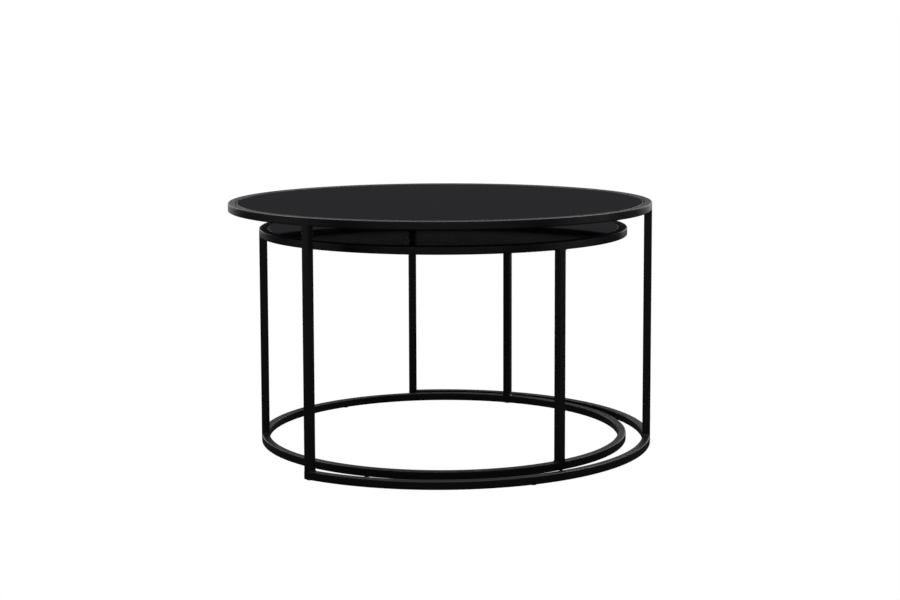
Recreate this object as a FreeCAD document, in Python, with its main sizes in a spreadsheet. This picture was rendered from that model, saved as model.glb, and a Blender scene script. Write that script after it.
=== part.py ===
"""Two round nesting coffee tables: square steel tube frames with black glass tops.

Frame: millimetres, +Z up, origin on the floor under the centre of the large table.
+X is to the right and +Y to the back of the tables as they stand nested.
The small table slides out to the left, through the gap in the large table's base.
"""
import FreeCAD, Part
import os
import Sketcher

DRIVING_SIZES = {
    "small_diameter": 700,        # outside of the small table's rings
    "nest_gap": 35,               # radial gap from the small ring to the inside of the large one
    "small_height": 410,          # floor to the top of the small frame
    "top_gap": 35,                # small frame's top to the underside of the large top ring
    "tube_side": 15,              # square tube of both frames
    "tube_wall": 1.5,
    "tube_inner_corner": 0.5,     # inside corner radius of the tube
    "small_offset_right": 6,      # where the small table stands under the large one
    "small_offset_back": 18,
    "opening_direction": 166.3,   # degrees from +X, where the gap in the large base faces
    "opening_clearance": 3.75,    # from the small table's rim to each leg beside the gap
    "right_leg_angle": 353,       # large table's third leg, degrees from +X
    "small_leg_angle": 186.5,     # small table's first leg, degrees from +X
    "glass_thickness": 6,
    "glass_recess": 1,            # glass below the top of its ring
    "glass_gap": 1.5,             # between the glass edge and the ring
    "glass_arris": 1,             # ground chamfer round both edges of the glass
    "tab_reach": 14,
    "tab_width": 20,
    "tab_thickness": 3,
    "tab_corner": 3,
    "pad_diameter": 10,
    "pad_thickness": 1.5,
    "pad_edge": 0.4,
    "glide_margin": 1.5,          # from a glide's edge to the side of the tube above it
    "glide_thickness": 1,
    "glide_edge": 0.3,
    "plug_head": 2.5,             # part of an end plug that shows
    "plug_insert": 12,            # part of an end plug inside the tube
    "plug_wall": 1.5,
    "plug_clearance": 0.3,
    "plug_round": 1.2,
}
TAB_COUNT = 6
SMALL_GLIDE_COUNT = 6

# Sizes that follow from the driving ones, as expressions for the sheet.
CORNER = "(Sizes.tube_inner_corner + Sizes.tube_wall)"
BORE = "(Sizes.tube_side - 2 * Sizes.tube_wall)"
SMALL_RADIUS = "(Sizes.small_diameter / 2)"
LARGE_INSIDE = f"({SMALL_RADIUS} + Sizes.nest_gap)"
LARGE_RADIUS = f"({LARGE_INSIDE} + Sizes.tube_side)"
LARGE_HEIGHT = "(Sizes.small_height + Sizes.top_gap + Sizes.tube_side)"
BASE_TOP = "(Sizes.glide_thickness + Sizes.tube_side)"
DISC_RADIUS = {
    "pad": "(Sizes.pad_diameter / 2)",
    "glide": "(Sizes.tube_side / 2 - Sizes.glide_margin)",
}

# The two legs beside the gap stand just wide enough apart for the small table to pass.
GAP_HALF = (
    f"(asin(({SMALL_RADIUS} + Sizes.opening_clearance)"
    f" / sqrt({LARGE_INSIDE} ^ 2 + (Sizes.tube_side / 2) ^ 2))"
    f" + atan(Sizes.tube_side / 2 / {LARGE_INSIDE}))"
)
GAP_MIDDLE = "(Sizes.opening_direction * 1 deg)"
FRONT_LEG = f"({GAP_MIDDLE} + {GAP_HALF})"
BACK_LEG = f"({GAP_MIDDLE} - {GAP_HALF})"
RIGHT_LEG = "(Sizes.right_leg_angle * 1 deg)"

# The base arc ends inside the outer side of those legs by the thickness of a plug's head.
ARC_OVERRUN = (
    "(asin((Sizes.tube_side / 2 - Sizes.plug_head)"
    f" / ({LARGE_RADIUS} - Sizes.tube_side / 2)))"
)

TABLES = {
    "large": {"x": "0", "y": "0", "radius": LARGE_RADIUS, "height": LARGE_HEIGHT},
    "small": {
        "x": "Sizes.small_offset_right",
        "y": "Sizes.small_offset_back",
        "radius": SMALL_RADIUS,
        "height": "Sizes.small_height",
    },
}

doc = FreeCAD.newDocument("NestingTables")


def make_sheet():
    sheet = doc.addObject("Spreadsheet::Sheet", "Sizes")
    for row, (name, size) in enumerate(DRIVING_SIZES.items(), start=1):
        sheet.set(f"A{row}", name)
        sheet.set(f"B{row}", str(size))
        sheet.setAlias(f"B{row}", name)
    doc.recompute()
    return sheet


sheet = make_sheet()


def value(expression):
    """The number that an expression of the sheet gives now."""
    result = sheet.evalExpression(expression)
    return float(getattr(result, "Value", result))


# ---------------------------------------------------------------- building blocks

def new_body(name, table, height, angle):
    """A body on its table's axis, lifted to height and turned to angle."""
    body = doc.addObject("PartDesign::Body", name)
    body.Label = name
    place = TABLES[table]
    body.setExpression(
        "Placement",
        f"placement(vector({place['x']}; {place['y']}; {height}); "
        f"rotation(vector(0; 0; 1); {angle}))",
    )
    return body


def new_sketch(body, name, role):
    plane = next(item for item in body.Origin.OriginFeatures if item.Role == role)
    sketch = body.newObject("Sketcher::SketchObject", name)
    sketch.AttachmentSupport = [(plane, "")]
    sketch.MapMode = "FlatFace"
    return sketch


def bind(sketch, kind, places, expression):
    """A dimension of a sketch that follows the sheet."""
    index = sketch.addConstraint(Sketcher.Constraint(kind, *places, value(expression)))
    sketch.setExpression(f"Constraints[{index}]", expression)


def rounded_square(sketch, middle_x, middle_y, side, corner):
    """A square with rounded corners, its middle at the two expressions given."""
    half = value(side) / 2
    radius = value(corner)
    left = value(middle_x) - half
    right = value(middle_x) + half
    low = value(middle_y) - half
    high = value(middle_y) + half
    lines = [
        ((left + radius, low), (right - radius, low)),
        ((right, low + radius), (right, high - radius)),
        ((right - radius, high), (left + radius, high)),
        ((left, high - radius), (left, low + radius)),
    ]
    centres = [
        (right - radius, low + radius, 270),
        (right - radius, high - radius, 0),
        (left + radius, high - radius, 90),
        (left + radius, low + radius, 180),
    ]
    sides = []
    for start, end in lines:
        line = Part.LineSegment(FreeCAD.Vector(*start, 0), FreeCAD.Vector(*end, 0))
        sides.append(sketch.addGeometry(line, False))
    corners = []
    for x, y, start_angle in centres:
        circle = Part.Circle(FreeCAD.Vector(x, y, 0), FreeCAD.Vector(0, 0, 1), radius)
        start = FreeCAD.Units.Quantity(start_angle, FreeCAD.Units.Angle).getValueAs("rad").Value
        end = FreeCAD.Units.Quantity(start_angle + 90, FreeCAD.Units.Angle).getValueAs("rad").Value
        corners.append(sketch.addGeometry(Part.ArcOfCircle(circle, start, end), False))
    for index, arc in enumerate(corners):
        following = sides[(index + 1) % 4]
        sketch.addConstraint(Sketcher.Constraint("Tangent", sides[index], 2, arc, 1))
        sketch.addConstraint(Sketcher.Constraint("Tangent", arc, 2, following, 1))
    for index in (0, 2):
        sketch.addConstraint(Sketcher.Constraint("Horizontal", sides[index]))
    for index in (1, 3):
        sketch.addConstraint(Sketcher.Constraint("Vertical", sides[index]))
    for arc in corners[1:]:
        sketch.addConstraint(Sketcher.Constraint("Equal", corners[0], arc))
    bind(sketch, "Radius", [corners[0]], corner)
    bind(sketch, "DistanceX", [sides[3], 1, sides[1], 1], side)
    bind(sketch, "DistanceY", [sides[0], 1, sides[2], 1], side)
    bind(sketch, "DistanceX", [-1, 1, sides[3], 1], f"{middle_x} - {side} / 2")
    bind(sketch, "DistanceY", [-1, 1, sides[0], 1], f"{middle_y} - {side} / 2")


def tube_section(sketch, middle_x, middle_y):
    """The hollow square of the frame tube."""
    rounded_square(sketch, middle_x, middle_y, "Sizes.tube_side", CORNER)
    rounded_square(sketch, middle_x, middle_y, BORE, "Sizes.tube_inner_corner")


def circle_sketch(body, middle_x, radius):
    sketch = new_sketch(body, f"{body.Name}_outline", "XY_Plane")
    centre = FreeCAD.Vector(value(middle_x), 0, 0)
    circle = Part.Circle(centre, FreeCAD.Vector(0, 0, 1), value(radius))
    index = sketch.addGeometry(circle, False)
    bind(sketch, "Radius", [index], radius)
    bind(sketch, "DistanceX", [-1, 1, index, 3], middle_x)
    sketch.addConstraint(Sketcher.Constraint("PointOnObject", index, 3, -1))
    return sketch


def pad(body, name, sketch, length, backwards=False):
    feature = body.newObject("PartDesign::Pad", name)
    feature.Profile = sketch
    feature.setExpression("Length", length)
    feature.Reversed = backwards
    return feature


def trim_edges(body, kind, name, base, edges, size):
    """A PartDesign::Fillet or PartDesign::Chamfer on the named edges of a feature."""
    feature = body.newObject(f"PartDesign::{kind}", name)
    feature.Base = (base, edges)
    feature.setExpression("Radius" if kind == "Fillet" else "Size", size)
    return feature


def edge_names(feature, wanted):
    """Names of the edges of a feature's shape that the test picks out."""
    doc.recompute()
    return [f"Edge{i}" for i, edge in enumerate(feature.Shape.Edges, start=1) if wanted(edge)]


def is_round(edge):
    return isinstance(edge.Curve, Part.Circle)


# ---------------------------------------------------------------- frame parts

def make_ring(name, table, height, sweep=None, angle="0 deg"):
    """Tube rolled into a hoop, or into an arc of the given sweep centred on angle."""
    body = new_body(name, table, height, angle)
    section = new_sketch(body, f"{name}_section", "XZ_Plane")
    middle = f"({TABLES[table]['radius']} - Sizes.tube_side / 2)"
    tube_section(section, middle, "(Sizes.tube_side / 2)")
    hoop = body.newObject("PartDesign::Revolution", f"{name}_hoop")
    hoop.Profile = section
    hoop.ReferenceAxis = (section, ["V_Axis"])
    hoop.Angle = 360
    if sweep:
        hoop.Midplane = True
        hoop.setExpression("Angle", sweep)
    return body


def make_leg(name, table, angle):
    """Straight tube that stands on the base ring and meets the top ring's underside."""
    body = new_body(name, table, BASE_TOP, angle)
    section = new_sketch(body, f"{name}_section", "XY_Plane")
    tube_section(section, f"({TABLES[table]['radius']} - Sizes.tube_side / 2)", "0")
    length = f"{TABLES[table]['height']} - Sizes.tube_side - {BASE_TOP}"
    pad(body, f"{name}_length", section, length)
    return body


def make_arc_plug(name, angle, insert_forwards):
    """Moulded plug for an open end of the base arc: a hollow insert and a rounded head.

    The sketches look along -Y of the body, so a pad runs to -Y unless it is backwards.
    """
    body = new_body(name, "large", "Sizes.glide_thickness", angle)
    middle_x = f"({LARGE_RADIUS} - Sizes.tube_side / 2)"
    middle_z = "(Sizes.tube_side / 2)"
    insert_side = f"({BORE} - 2 * Sizes.plug_clearance)"
    insert_bore = f"({insert_side} - 2 * Sizes.plug_wall)"
    head_outline = new_sketch(body, f"{name}_head_outline", "XZ_Plane")
    rounded_square(head_outline, middle_x, middle_z, "Sizes.tube_side", CORNER)
    head = pad(body, f"{name}_head", head_outline, "Sizes.plug_head", not insert_forwards)
    doc.recompute()
    ends = (head.Shape.BoundBox.YMin, head.Shape.BoundBox.YMax)
    outer_face = max(ends, key=abs)
    rim = edge_names(head, lambda edge: abs(edge.CenterOfMass.y - outer_face) < 0.01)
    trim_edges(body, "Fillet", f"{name}_rounding", head, rim, "Sizes.plug_round")
    insert_outline = new_sketch(body, f"{name}_insert_outline", "XZ_Plane")
    rounded_square(insert_outline, middle_x, middle_z, insert_side, "Sizes.tube_inner_corner")
    rounded_square(insert_outline, middle_x, middle_z, insert_bore, "Sizes.tube_inner_corner")
    pad(body, f"{name}_insert", insert_outline, "Sizes.plug_insert", insert_forwards)
    return body


# ---------------------------------------------------------------- glass and its supports

def below_top(table, *depths):
    """Height of a level that lies below the top of a table's ring."""
    return " - ".join([TABLES[table]["height"], *depths])


def make_glass(name, table):
    bottom = below_top(table, "Sizes.glass_recess", "Sizes.glass_thickness")
    body = new_body(name, table, bottom, "0 deg")
    radius = f"({TABLES[table]['radius']} - Sizes.tube_side - Sizes.glass_gap)"
    sheet_of_glass = pad(body, f"{name}_sheet", circle_sketch(body, "0", radius),
                         "Sizes.glass_thickness")
    rims = edge_names(sheet_of_glass, is_round)
    trim_edges(body, "Chamfer", f"{name}_ground_edge", sheet_of_glass, rims, "Sizes.glass_arris")
    return body


def make_tab(name, table, angle):
    """Steel tab welded inside the top ring, its outer end curved to sit on the ring."""
    bottom = below_top(table, "Sizes.glass_recess", "Sizes.glass_thickness",
                       "Sizes.pad_thickness", "Sizes.tab_thickness")
    body = new_body(name, table, bottom, angle)
    outline = new_sketch(body, f"{name}_outline", "XY_Plane")
    ring_inside = f"({TABLES[table]['radius']} - Sizes.tube_side)"
    radius = value(ring_inside)
    inner = radius - value("Sizes.tab_reach")
    half = value("Sizes.tab_width") / 2
    outer = (radius ** 2 - half ** 2) ** 0.5
    corners = [
        FreeCAD.Vector(outer, -half, 0),
        FreeCAD.Vector(inner, -half, 0),
        FreeCAD.Vector(inner, half, 0),
        FreeCAD.Vector(outer, half, 0),
    ]
    sides = []
    for start, end in zip(corners, corners[1:]):
        sides.append(outline.addGeometry(Part.LineSegment(start, end), False))
    rim = Part.Arc(corners[0], FreeCAD.Vector(radius, 0, 0), corners[3])
    end = outline.addGeometry(rim, False)
    for first, second in zip(sides, sides[1:]):
        outline.addConstraint(Sketcher.Constraint("Coincident", first, 2, second, 1))
    outline.addConstraint(Sketcher.Constraint("Coincident", end, 1, sides[0], 1))
    outline.addConstraint(Sketcher.Constraint("Coincident", end, 2, sides[2], 2))
    outline.addConstraint(Sketcher.Constraint("Coincident", end, 3, -1, 1))
    outline.addConstraint(Sketcher.Constraint("Horizontal", sides[0]))
    outline.addConstraint(Sketcher.Constraint("Vertical", sides[1]))
    outline.addConstraint(Sketcher.Constraint("Horizontal", sides[2]))
    bind(outline, "Radius", [end], ring_inside)
    bind(outline, "DistanceX", [-1, 1, sides[1], 1], f"{ring_inside} - Sizes.tab_reach")
    bind(outline, "DistanceY", [sides[1], 1, sides[1], 2], "Sizes.tab_width")
    bind(outline, "DistanceY", [-1, 1, sides[1], 2], "Sizes.tab_width / 2")
    plate = pad(body, f"{name}_plate", outline, "Sizes.tab_thickness")
    near = value(f"{ring_inside} - Sizes.tab_reach")
    free_corners = edge_names(
        plate,
        lambda edge: abs(edge.CenterOfMass.x - near) < 0.01 and edge.tangentAt(0).z ** 2 > 0.9,
    )
    trim_edges(body, "Fillet", f"{name}_rounding", plate, free_corners, "Sizes.tab_corner")
    return body


def make_disc(name, table, height, angle, middle, disc, edge_at_top):
    """A small round pad or glide, its free edge eased."""
    body = new_body(name, table, height, angle)
    blank = pad(body, f"{name}_blank", circle_sketch(body, middle, DISC_RADIUS[disc]),
                f"Sizes.{disc}_thickness")
    level = value(f"Sizes.{disc}_thickness") if edge_at_top else 0
    rim = edge_names(blank, lambda edge: is_round(edge) and abs(edge.CenterOfMass.z - level) < 0.01)
    trim_edges(body, "Chamfer", f"{name}_eased", blank, rim, f"Sizes.{disc}_edge")
    return body


def make_top(table, first_tab_angle):
    """Top ring, glass, and the welded tabs with the pads that carry the glass."""
    nodes = [
        make_ring(f"{table}_top_ring", table, below_top(table, "Sizes.tube_side")),
        make_glass(f"{table}_glass_top", table),
    ]
    radius = TABLES[table]["radius"]
    pad_middle = f"({radius} - Sizes.tube_side - Sizes.tab_reach / 2)"
    pad_height = below_top(table, "Sizes.glass_recess", "Sizes.glass_thickness",
                           "Sizes.pad_thickness")
    for index in range(TAB_COUNT):
        angle = f"({first_tab_angle} + {index * 360 / TAB_COUNT} deg)"
        nodes.append(make_tab(f"{table}_glass_tab_{index + 1}", table, angle))
        nodes.append(make_disc(f"{table}_glass_pad_{index + 1}", table, pad_height, angle,
                               pad_middle, "pad", True))
    return nodes


def make_glides(table, angles):
    middle = f"({TABLES[table]['radius']} - Sizes.tube_side / 2)"
    return [
        make_disc(f"{table}_foot_glide_{number}", table, "0", angle, middle, "glide", False)
        for number, angle in enumerate(angles, start=1)
    ]


# ---------------------------------------------------------------- the two tables

def make_large_table():
    nodes = make_top("large", "0 deg")
    for place, angle in (("front", FRONT_LEG), ("right", RIGHT_LEG), ("back", BACK_LEG)):
        nodes.append(make_leg(f"large_leg_{place}", "large", angle))
    sweep = f"360 deg - 2 * {GAP_HALF} + 2 * {ARC_OVERRUN}"
    nodes.append(make_ring("large_base_arc", "large", "Sizes.glide_thickness", sweep,
                           f"({GAP_MIDDLE} + 180 deg)"))
    nodes.append(make_arc_plug("large_arc_plug_front", f"({FRONT_LEG} - {ARC_OVERRUN})", True))
    nodes.append(make_arc_plug("large_arc_plug_back", f"({BACK_LEG} + {ARC_OVERRUN})", False))
    front_middle = f"(({FRONT_LEG} + {RIGHT_LEG}) / 2)"
    back_middle = f"(({RIGHT_LEG} - 360 deg + {BACK_LEG}) / 2)"
    nodes += make_glides("large", (FRONT_LEG, front_middle, RIGHT_LEG, back_middle, BACK_LEG))
    return nodes


def make_small_table():
    first_leg = "(Sizes.small_leg_angle * 1 deg)"
    nodes = make_top("small", first_leg)
    for index, place in enumerate(("left", "front", "back")):
        nodes.append(make_leg(f"small_leg_{place}", "small", f"({first_leg} + {index * 120} deg)"))
    nodes.append(make_ring("small_base_ring", "small", "Sizes.glide_thickness"))
    step = 360 / SMALL_GLIDE_COUNT
    angles = [f"({first_leg} + {index * step} deg)" for index in range(SMALL_GLIDE_COUNT)]
    nodes += make_glides("small", angles)
    return nodes


nodes = make_large_table() + make_small_table()
doc.recompute()

for item in doc.Objects:
    if "Invalid" in item.State or "Error" in item.State:
        raise RuntimeError(f"{item.Label} did not build: {item.State}")
for node in nodes:
    if node.Shape.isNull() or not node.Shape.isValid() or len(node.Shape.Solids) != 1:
        raise RuntimeError(f"{node.Label} is not one sound solid")

os.makedirs("parts", exist_ok=True)
for node in nodes:
    node.Shape.exportStep(os.path.join("parts", f"{node.Label}.step"))
print(len(nodes), "sub-parts written")
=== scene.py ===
import math

import bmesh
import bpy
from mathutils import Matrix, Vector


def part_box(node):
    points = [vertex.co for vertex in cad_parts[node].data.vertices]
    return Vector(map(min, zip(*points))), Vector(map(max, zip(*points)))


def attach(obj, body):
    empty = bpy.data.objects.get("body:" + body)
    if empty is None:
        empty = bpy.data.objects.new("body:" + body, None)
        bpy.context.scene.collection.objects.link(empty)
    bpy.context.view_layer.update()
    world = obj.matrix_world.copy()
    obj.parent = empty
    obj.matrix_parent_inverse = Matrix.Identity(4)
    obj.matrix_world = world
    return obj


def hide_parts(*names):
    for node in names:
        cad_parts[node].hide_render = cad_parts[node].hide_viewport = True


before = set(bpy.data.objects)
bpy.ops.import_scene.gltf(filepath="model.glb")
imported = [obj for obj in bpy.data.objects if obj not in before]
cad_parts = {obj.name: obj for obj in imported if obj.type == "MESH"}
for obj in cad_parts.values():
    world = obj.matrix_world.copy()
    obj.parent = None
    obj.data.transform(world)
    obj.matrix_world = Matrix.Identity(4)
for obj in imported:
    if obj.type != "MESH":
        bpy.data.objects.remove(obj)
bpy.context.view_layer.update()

MM = 0.001
TUBE = 15 * MM             # side of the square frame tube
TUBE_CORNER = 2 * MM       # its outside corner radius
CORNER_STEPS = 5
HOOP_STEPS = 288           # faces round a hoop
WELD = 2.6 * MM            # leg of the fillet weld at each end of an upright
FLUSH = 2 * MM             # ground weld that fills the hollow over the tube's rounded corner
GLASS_GAP = 1.5 * MM
ARRIS = 1 * MM             # ground bevel along both rims of the glass
PLUG_HEAD = 2.5 * MM
PLUG_SEAM = 0.25 * MM      # shadow line between a plug and the tube's cut end
PLUG_ROUND = 1.2 * MM
SAME_PLACE = 0.01 * MM     # corners nearer than this are in one place
ROLLER_WAVE = 250 * MM     # wave that the tempering rollers leave in the glass
WAVE_AT_SCALE_1 = math.tau / 20    # metres between the waves of a wave texture of scale 1

SENSOR = 36
FOCAL_SHARE = 1751.0 / 900         # focal length as a share of the picture's width
CAMERA_SHIFT = (225 - 300) / 900   # moves the view down without tilting the uprights
CAMERA_PLACE = (-0.016, -3.30991, 0.75666)


# ---------------------------------------------------------------- materials

def linear(hex_colour):
    """An sRGB hex colour as linear red, green, blue and alpha."""
    parts = [int(hex_colour[i:i + 2], 16) / 255 for i in (1, 3, 5)]
    lit = [c / 12.92 if c <= 0.04045 else ((c + 0.055) / 1.055) ** 2.4 for c in parts]
    return (*lit, 1.0)


def add_node(tree, kind, settings=None, **links):
    """Add a node. settings names its properties and sockets; links name what feeds a socket."""
    node = tree.nodes.new(kind)
    for name, value in (settings or {}).items():
        if name in node.inputs:
            node.inputs[name].default_value = value
        else:
            setattr(node, name, value)
    for name, source in links.items():
        tree.links.new(source, node.inputs[name.replace("_", " ")])
    return node


def new_material(name):
    material = bpy.data.materials.new(name)
    material.use_nodes = True
    tree = material.node_tree
    tree.nodes.clear()
    output = tree.nodes.new("ShaderNodeOutputMaterial")
    return material, tree, output


def mottle(tree, place, size, low, high, detail=2.0):
    """A soft noise with patches of the given size, from low to high."""
    noise = add_node(tree, "ShaderNodeTexNoise", {"Scale": 1 / size, "Detail": detail},
                     Vector=place)
    spread = add_node(tree, "ShaderNodeMapRange",
                      {"From Min": 0.3, "From Max": 0.7, "To Min": low, "To Max": high},
                      Value=noise.outputs["Fac"])
    return spread.outputs["Result"]


def two_tone(tree, amount, dark, light):
    """A colour between two hex colours, by an amount from 0 to 1."""
    ramp = add_node(tree, "ShaderNodeValToRGB", {}, Fac=amount)
    ramp.color_ramp.elements[0].color = linear(dark)
    ramp.color_ramp.elements[1].color = linear(light)
    return ramp.outputs["Color"]


def black_powder_coat():
    # Polyester powder, sprayed and baked: a satin black skin with faint orange peel.
    # The grain of real powder is about 0.1 mm; it is drawn at 0.7 mm so that it shows.
    material, tree, output = new_material("black_powder_coat")
    place = add_node(tree, "ShaderNodeTexCoord").outputs["Object"]
    peel = add_node(tree, "ShaderNodeTexNoise", {"Scale": 1 / (2.4 * MM), "Detail": 2.0},
                    Vector=place)
    grain = add_node(tree, "ShaderNodeTexNoise", {"Scale": 1 / (0.7 * MM), "Detail": 1.0},
                     Vector=place)
    waves = add_node(tree, "ShaderNodeBump", {"Strength": 0.2, "Distance": 0.1 * MM},
                     Height=peel.outputs["Fac"])
    skin = add_node(tree, "ShaderNodeBump", {"Strength": 0.12, "Distance": 0.03 * MM},
                    Height=grain.outputs["Fac"], Normal=waves.outputs["Normal"])
    tone = mottle(tree, place, 60 * MM, 0.0, 1.0)
    shader = add_node(tree, "ShaderNodeBsdfPrincipled", {"IOR": 1.5},
                      Base_Color=two_tone(tree, tone, "#0f0f10", "#141415"),
                      Roughness=mottle(tree, place, 25 * MM, 0.31, 0.38),
                      Normal=skin.outputs["Normal"])
    tree.links.new(shader.outputs["BSDF"], output.inputs["Surface"])
    return material


def black_tempered_glass():
    # Float glass with a baked black back: deep black under a clean mirror-like face.
    # Tempering rollers leave a wave of about 250 mm, and wiping leaves faint hazy patches.
    material, tree, output = new_material("black_tempered_glass")
    place = add_node(tree, "ShaderNodeTexCoord").outputs["Object"]
    rollers = add_node(tree, "ShaderNodeTexWave",
                       {"Scale": WAVE_AT_SCALE_1 / ROLLER_WAVE, "Distortion": 0.6,
                        "Detail": 1.0}, Vector=place)
    wave = add_node(tree, "ShaderNodeBump", {"Strength": 0.1, "Distance": 0.05 * MM},
                    Height=rollers.outputs["Fac"])
    shader = add_node(tree, "ShaderNodeBsdfPrincipled", {"IOR": 1.52},
                      Base_Color=two_tone(tree, mottle(tree, place, 90 * MM, 0.0, 1.0),
                                          "#060607", "#080809"),
                      Roughness=mottle(tree, place, 70 * MM, 0.02, 0.05, 4.0),
                      Normal=wave.outputs["Normal"])
    tree.links.new(shader.outputs["BSDF"], output.inputs["Surface"])
    return material


def baked_black_enamel():
    # Ceramic enamel fired on the underside of the glass: solid black, soft and slightly wavy
    # in its gloss.
    material, tree, output = new_material("baked_black_enamel")
    place = add_node(tree, "ShaderNodeTexCoord").outputs["Object"]
    skin = add_node(tree, "ShaderNodeTexNoise", {"Scale": 1 / (1.5 * MM), "Detail": 2.0},
                    Vector=place)
    bump = add_node(tree, "ShaderNodeBump", {"Strength": 0.15, "Distance": 0.03 * MM},
                    Height=skin.outputs["Fac"])
    shader = add_node(tree, "ShaderNodeBsdfPrincipled", {"IOR": 1.5},
                      Base_Color=two_tone(tree, mottle(tree, place, 40 * MM, 0.0, 1.0),
                                          "#0a0a0a", "#0f0f10"),
                      Roughness=mottle(tree, place, 30 * MM, 0.18, 0.24),
                      Normal=bump.outputs["Normal"])
    tree.links.new(shader.outputs["BSDF"], output.inputs["Surface"])
    return material


def ground_glass_edge():
    # The rim of the disc, ground with a diamond wheel: frosted grey-black with fine level lines.
    material, tree, output = new_material("ground_glass_edge")
    place = add_node(tree, "ShaderNodeTexCoord").outputs["Object"]
    squashed = add_node(tree, "ShaderNodeMapping", {"Scale": (1, 1, 14)}, Vector=place)
    lines = add_node(tree, "ShaderNodeTexNoise", {"Scale": 1 / (6 * MM), "Detail": 3.0},
                     Vector=squashed.outputs["Vector"])
    frost = add_node(tree, "ShaderNodeBump", {"Strength": 0.3, "Distance": 0.05 * MM},
                     Height=lines.outputs["Fac"])
    shader = add_node(tree, "ShaderNodeBsdfPrincipled", {"IOR": 1.52},
                      Base_Color=two_tone(tree, lines.outputs["Fac"], "#101213", "#1c1f20"),
                      Roughness=mottle(tree, place, 3 * MM, 0.28, 0.4),
                      Normal=frost.outputs["Normal"])
    tree.links.new(shader.outputs["BSDF"], output.inputs["Surface"])
    return material


def clear_silicone():
    # Moulded silicone bumper: cloudy grey, soft and a little sticky, so dust dulls it in patches.
    material, tree, output = new_material("clear_silicone")
    place = add_node(tree, "ShaderNodeTexCoord").outputs["Object"]
    cloud = mottle(tree, place, 2.5 * MM, 0.0, 1.0, 3.0)
    shader = add_node(tree, "ShaderNodeBsdfPrincipled",
                      {"IOR": 1.41, "Transmission Weight": 0.25, "Subsurface Weight": 0.1},
                      Base_Color=two_tone(tree, cloud, "#8f9290", "#a7aaa8"),
                      Roughness=mottle(tree, place, 1.2 * MM, 0.3, 0.5))
    tree.links.new(shader.outputs["BSDF"], output.inputs["Surface"])
    return material


def moulded_polyethylene():
    # Injection-moulded black plug: spark-eroded mould texture, a touch greyer than the paint.
    # The mould's grain is about 0.2 mm; it is drawn at 0.6 mm so that it shows.
    material, tree, output = new_material("moulded_polyethylene")
    place = add_node(tree, "ShaderNodeTexCoord").outputs["Object"]
    spark = add_node(tree, "ShaderNodeTexVoronoi", {"Scale": 1 / (0.6 * MM)}, Vector=place)
    texture = add_node(tree, "ShaderNodeBump", {"Strength": 0.25, "Distance": 0.04 * MM},
                       Height=spark.outputs["Distance"])
    shader = add_node(tree, "ShaderNodeBsdfPrincipled", {"IOR": 1.51},
                      Base_Color=two_tone(tree, mottle(tree, place, 5 * MM, 0.0, 1.0),
                                          "#101011", "#161617"),
                      Roughness=mottle(tree, place, 2 * MM, 0.5, 0.6),
                      Normal=texture.outputs["Normal"])
    tree.links.new(shader.outputs["BSDF"], output.inputs["Surface"])
    return material


def pressed_felt():
    # Needled black felt, pressed to a disc: matt, fuzzy, with paler fibres through it.
    # Its fibres are about 0.03 mm thick; they are drawn at 0.4 mm so that they show.
    material, tree, output = new_material("pressed_felt")
    place = add_node(tree, "ShaderNodeTexCoord").outputs["Object"]
    fibres = add_node(tree, "ShaderNodeTexNoise",
                      {"Scale": 1 / (0.4 * MM), "Detail": 4.0, "Distortion": 2.5}, Vector=place)
    fuzz = add_node(tree, "ShaderNodeBump", {"Strength": 0.7, "Distance": 0.1 * MM},
                    Height=fibres.outputs["Fac"])
    shader = add_node(tree, "ShaderNodeBsdfPrincipled",
                      {"Roughness": 0.95, "Sheen Weight": 0.3, "Sheen Roughness": 0.5},
                      Base_Color=two_tone(tree, fibres.outputs["Fac"], "#101011", "#232324"),
                      Normal=fuzz.outputs["Normal"])
    tree.links.new(shader.outputs["BSDF"], output.inputs["Surface"])
    return material


powder = black_powder_coat()
glass = black_tempered_glass()
glass_edge = ground_glass_edge()
enamel = baked_black_enamel()
silicone = clear_silicone()
polyethylene = moulded_polyethylene()
felt = pressed_felt()


def finish_of(node_name):
    for part, material in (("glass_top", glass), ("glass_pad", silicone),
                           ("foot_glide", felt), ("arc_plug", polyethylene)):
        if part in node_name:
            return material
    return powder


for name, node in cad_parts.items():
    node.data.materials.clear()
    node.data.materials.append(finish_of(name))


# ---------------------------------------------------------------- modelling by hand

def select_only(obj=None):
    bpy.ops.object.select_all(action="DESELECT")
    if obj:
        obj.select_set(True)
        bpy.context.view_layer.objects.active = obj


def new_piece(name):
    """The primitive just added, named, with its scale applied and open for editing."""
    piece = bpy.context.active_object
    piece.name = name
    piece.data.name = name
    bpy.ops.object.transform_apply(location=False, rotation=False, scale=True)
    bpy.ops.object.mode_set(mode="EDIT")
    return piece


def pick(piece, kind, test):
    """Select only the corners (VERT), edges (EDGE) or faces (FACE) that pass the test."""
    bpy.ops.mesh.select_mode(type=kind)
    bpy.ops.mesh.select_all(action="DESELECT")
    mesh = bmesh.from_edit_mesh(piece.data)
    for item in {"VERT": mesh.verts, "EDGE": mesh.edges, "FACE": mesh.faces}[kind]:
        if test(item):
            item.select_set(True)
    mesh.select_flush_mode()
    bmesh.update_edit_mesh(piece.data)


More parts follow.
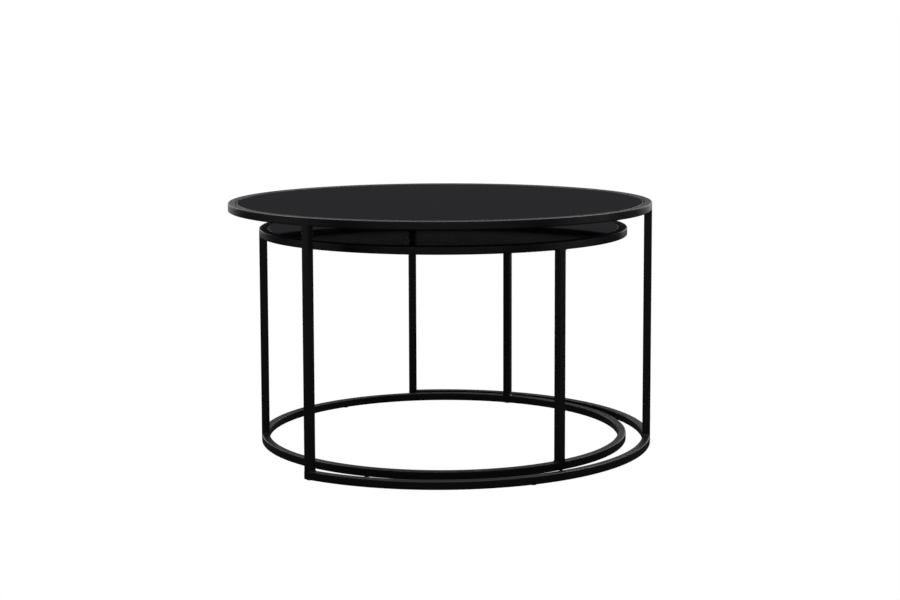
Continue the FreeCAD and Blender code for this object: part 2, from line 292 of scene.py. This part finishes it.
def close_piece(piece, materials, smooth=35):
    """Back to object mode: normals outwards, place in the mesh, smooth where it curves."""
    bpy.ops.mesh.select_all(action="SELECT")
    bpy.ops.mesh.normals_make_consistent(inside=False)
    bpy.ops.object.mode_set(mode="OBJECT")
    select_only(piece)
    bpy.ops.object.transform_apply(location=True, rotation=True, scale=True)
    bpy.ops.object.shade_smooth_by_angle(angle=math.radians(smooth))
    bpy.ops.object.modifier_add(type="WEIGHTED_NORMAL")
    piece.modifiers[-1].keep_sharp = True
    bpy.ops.object.modifier_apply(modifier=piece.modifiers[-1].name)
    piece.data.materials.clear()
    for material in materials:
        piece.data.materials.append(material)
    return piece


def hand_over(piece, table, slot, *nodes):
    """The piece stands for CAD nodes of a table and moves with it."""
    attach(piece, f"{table}_table")
    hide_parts(*nodes)


# ---------------------------------------------------------------- places, from the CAD

def hoop_of(node_name):
    """Middle and outside radius of a full ring node."""
    low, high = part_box(node_name)
    middle = (low + high) / 2
    return Vector((round(middle.x, 4), round(middle.y, 4), 0)), round((high.x - low.x) / 2, 3)


def bearing(node_name, middle):
    """Direction of a node from a table's middle, in radians."""
    low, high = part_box(node_name)
    away = (low + high) / 2 - middle
    return math.atan2(away.y, away.x)


# ---------------------------------------------------------------- frame tubes

def rolled_tube(name, node_name, middle, radius, start=0.0, sweep=math.tau):
    """Square tube rolled to a hoop, or to an arc that begins at start."""
    line = radius - TUBE / 2
    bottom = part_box(node_name)[0].z
    place = middle + Vector((line * math.cos(start), line * math.sin(start), bottom + TUBE / 2))
    bpy.ops.mesh.primitive_plane_add(size=TUBE, location=place, rotation=(math.pi / 2, 0, start))
    piece = new_piece(name)
    bpy.ops.mesh.select_all(action="SELECT")
    bpy.ops.mesh.bevel(offset=TUBE_CORNER, segments=CORNER_STEPS, affect="VERTICES")
    bpy.ops.mesh.delete(type="ONLY_FACE")
    bpy.ops.mesh.select_all(action="SELECT")
    steps = round(HOOP_STEPS * sweep / math.tau)
    bpy.ops.mesh.spin(steps=steps, angle=-sweep, center=middle, axis=(0, 0, 1))
    bpy.ops.mesh.select_all(action="SELECT")
    bpy.ops.mesh.remove_doubles(threshold=SAME_PLACE)
    bpy.ops.mesh.select_all(action="SELECT")
    bpy.ops.mesh.fill_holes(sides=0)
    return close_piece(piece, [powder])


def upright(name, node_name, middle, radius, foot_sides):
    """Square tube leg with fillet welds along its two sides at the top, and at the foot."""
    low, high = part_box(node_name)
    line = radius - TUBE / 2
    height = high.z - low.z
    bpy.ops.mesh.primitive_cube_add(size=1, location=(line, 0, (low.z + high.z) / 2),
                                    scale=(TUBE, TUBE, height))
    piece = new_piece(name)
    pick(piece, "EDGE", lambda edge: abs(edge.verts[0].co.z - edge.verts[1].co.z) > height / 2)
    bpy.ops.mesh.bevel(offset=TUBE_CORNER, segments=CORNER_STEPS, affect="EDGES")
    for end, inwards, sides in ((high.z, -1, (-1, 1)), (low.z, 1, foot_sides)):
        levels = [WELD * share for share in (0.1, 0.25, 0.5, 1)]
        for level in levels:
            bpy.ops.mesh.select_all(action="SELECT")
            bpy.ops.mesh.bisect(plane_co=(line, 0, end + inwards * level), plane_no=(0, 0, 1))
        for level in (0, *levels[:-1]):
            toe = WELD - math.sqrt(WELD ** 2 - (WELD - level) ** 2)
            at = end + inwards * level - (low.z + high.z) / 2
            for side in sides:
                pick(piece, "VERT", lambda v: abs(v.co.z - at) < SAME_PLACE and v.co.y * side > 0)
                bpy.ops.transform.translate(value=(0, side * toe, 0))
        pick(piece, "FACE", lambda face: face.normal.z * -inwards > 0.9
             and abs(face.calc_center_median().z - (end - (low.z + high.z) / 2)) < SAME_PLACE)
        bpy.ops.mesh.extrude_region_move(
            TRANSFORM_OT_translate={"value": (0, 0, -inwards * FLUSH)})
        bpy.ops.transform.resize(value=(0.995, 0.75, 1), center_override=(line, 0, end))
    piece = close_piece(piece, [powder])
    piece.rotation_euler.z = bearing(node_name, middle)
    piece.location = middle
    bpy.ops.object.transform_apply(location=True, rotation=True, scale=True)
    return piece


def glass_disc(name, node_name, middle, radius):
    low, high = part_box(node_name)
    thickness = high.z - low.z
    bpy.ops.mesh.primitive_cylinder_add(
        vertices=HOOP_STEPS, radius=radius - TUBE - GLASS_GAP, depth=thickness,
        location=middle + Vector((0, 0, (low.z + high.z) / 2)))
    piece = new_piece(name)
    pick(piece, "EDGE", lambda edge: abs(edge.verts[0].co.z - edge.verts[1].co.z) < SAME_PLACE)
    bpy.ops.mesh.bevel(offset=ARRIS, segments=2, affect="EDGES")
    close_piece(piece, [glass, glass_edge, enamel], 20)
    for face in piece.data.polygons:
        if abs(face.normal.z) < 0.99:
            face.material_index = 1
        elif face.normal.z < 0:
            face.material_index = 2
    return piece


def end_plug(name, middle, radius, bottom, bearing_of_end, outwards):
    """Rounded head of a plug that closes a cut tube, with a small gate dimple."""
    line = radius - TUBE / 2
    depth = PLUG_HEAD - PLUG_SEAM
    bpy.ops.mesh.primitive_cube_add(
        size=1, location=(line, outwards * (PLUG_SEAM + depth / 2), bottom + TUBE / 2),
        scale=(TUBE, depth, TUBE))
    piece = new_piece(name)
    pick(piece, "EDGE", lambda edge: abs(edge.verts[0].co.y - edge.verts[1].co.y) > depth / 2)
    bpy.ops.mesh.bevel(offset=TUBE_CORNER, segments=CORNER_STEPS, affect="EDGES")
    pick(piece, "FACE", lambda face: face.normal.y * outwards > 0.9)
    bpy.ops.mesh.region_to_loop()
    bpy.ops.mesh.bevel(offset=PLUG_ROUND, segments=4, affect="EDGES")
    pick(piece, "FACE", lambda face: face.normal.y * outwards > 0.99)
    heart = (line, outwards * PLUG_HEAD, bottom + TUBE / 2)
    for share, sink in ((0.3, 0), (0.85, 0.35 * MM)):
        bpy.ops.mesh.extrude_region_move(
            TRANSFORM_OT_translate={"value": (0, -outwards * sink, 0)})
        bpy.ops.transform.resize(value=(share, 1, share), center_override=heart)
    piece = close_piece(piece, [polyethylene])
    piece.rotation_euler.z = bearing_of_end
    piece.location = middle
    bpy.ops.object.transform_apply(location=True, rotation=True, scale=True)
    return piece


# ---------------------------------------------------------------- the two tables

select_only()

for table in ("large", "small"):
    middle, radius = hoop_of(f"{table}_top_ring")
    hoop = rolled_tube(f"{table}_hoop", f"{table}_top_ring", middle, radius)
    hand_over(hoop, table, "frame_steel", f"{table}_top_ring")
    disc = glass_disc(f"{table}_glass_disc", f"{table}_glass_top", middle, radius)
    hand_over(disc, table, "black_glass", f"{table}_glass_top")

middle, radius = hoop_of("small_top_ring")
floor_hoop = rolled_tube("small_floor_hoop", "small_base_ring", middle, radius)
hand_over(floor_hoop, "small", "frame_steel", "small_base_ring")
for place in ("left", "front", "back"):
    leg = upright(f"small_upright_{place}", f"small_leg_{place}", middle, radius, (-1, 1))
    hand_over(leg, "small", "frame_steel", f"small_leg_{place}")

middle, radius = hoop_of("large_top_ring")
for place, foot_sides in (("front", (1,)), ("right", (-1, 1)), ("back", (-1,))):
    leg = upright(f"large_upright_{place}", f"large_leg_{place}", middle, radius, foot_sides)
    hand_over(leg, "large", "frame_steel", f"large_leg_{place}")

overrun = math.asin((TUBE / 2 - PLUG_HEAD) / (radius - TUBE / 2))
arc_start = bearing("large_leg_front", middle) - overrun
arc_end = bearing("large_leg_back", middle) + overrun
floor_arc = rolled_tube("large_floor_arc", "large_base_arc", middle, radius,
                        arc_start, (arc_end - arc_start) % math.tau)
hand_over(floor_arc, "large", "frame_steel", "large_base_arc")
arc_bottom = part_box("large_base_arc")[0].z
for place, end, outwards in (("front", arc_start, -1), ("back", arc_end, 1)):
    plug = end_plug(f"large_end_plug_{place}", middle, radius, arc_bottom, end, outwards)
    hand_over(plug, "large", "plug_plastic", f"large_arc_plug_{place}")


# ---------------------------------------------------------------- stage, light and camera

def camera_only(obj):
    """A stage surface that the camera sees and the tables don't reflect."""
    obj.visible_glossy = False
    obj.visible_diffuse = False
    obj.visible_transmission = False


def glowing(name, strength):
    material, tree, output = new_material(name)
    glow = add_node(tree, "ShaderNodeEmission", {"Color": (1, 1, 1, 1), "Strength": strength})
    tree.links.new(glow.outputs[0], output.inputs["Surface"])
    return material


def add_floor():
    bpy.ops.mesh.primitive_plane_add(size=60, location=(0, 0, 0))
    floor = bpy.context.active_object
    floor.name = "studio_floor"
    floor.data.materials.append(glowing("white_studio_floor", 1.0))
    camera_only(floor)


def add_surround():
    bpy.ops.mesh.primitive_uv_sphere_add(radius=28, location=(0, 0, 0))
    dome = bpy.context.active_object
    dome.name = "studio_surround"
    dome.data.materials.append(glowing("white_studio_surround", 1.0))
    camera_only(dome)
    dome.visible_shadow = False


def add_world():
    world = bpy.data.worlds.new("dim_studio")
    bpy.context.scene.world = world
    world.use_nodes = True
    background = world.node_tree.nodes["Background"]
    background.inputs["Color"].default_value = (1.0, 0.97, 1.07, 1)
    background.inputs["Strength"].default_value = 0.036


def add_softbox(name, place, target, size, power):
    light = bpy.data.lights.new(name, "AREA")
    light.shape = "RECTANGLE"
    light.size, light.size_y = size
    light.energy = power
    lamp = bpy.data.objects.new(name, light)
    bpy.context.collection.objects.link(lamp)
    lamp.location = place
    lamp.rotation_euler = (Vector(target) - Vector(place)).to_track_quat("-Z", "Y").to_euler()
    lamp.visible_camera = False


def add_camera():
    data = bpy.data.cameras.new("studio_camera")
    camera = bpy.data.objects.new("studio_camera", data)
    bpy.context.collection.objects.link(camera)
    data.sensor_width = SENSOR
    data.lens = FOCAL_SHARE * SENSOR
    data.shift_y = CAMERA_SHIFT
    pitch, yaw, roll = 0.1037, 0.0105, -0.0029
    turn = (Matrix.Rotation(-yaw, 4, "Z") @ Matrix.Rotation(math.pi / 2 - pitch, 4, "X")
            @ Matrix.Rotation(roll, 4, "Z"))
    camera.matrix_world = Matrix.Translation(CAMERA_PLACE) @ turn
    bpy.context.scene.camera = camera


select_only()
add_floor()
add_surround()
add_world()
add_softbox("overhead_softbox", (0, -0.4, 2.6), (0, 0, 0.45), (2.4, 2.0), 50)
add_softbox("front_fill", (0, -5.0, 0.8), (0, 0, 0.2), (9.0, 2.4), 14)
add_softbox("left_fill", (-4.0, -0.6, 0.9), (0, 0, 0.2), (3.0, 2.4), 4.5)
add_softbox("right_fill", (4.0, -0.6, 0.9), (0, 0, 0.2), (3.0, 2.4), 6.5)
add_softbox("left_upper_softbox", (-1.8, 1.2, 3.0), (0, 0, 0.3), (1.7, 1.7), 44)
add_softbox("right_upper_softbox", (1.8, 1.2, 3.0), (0, 0, 0.3), (1.7, 1.7), 48)
add_softbox("back_fill", (0, 4.6, 2.6), (0, 0, 0.3), (4.5, 1.2), 14)
add_softbox("left_rear_softbox", (-1.75, 3.2, 0.9), (-1.0, 0, 0.4), (1.8, 1.6), 11)
add_softbox("right_rear_softbox", (1.95, 3.0, 0.9), (1.2, 0, 0.4), (2.1, 1.6), 12)
add_camera()
bpy.context.scene.view_settings.view_transform = "Standard"
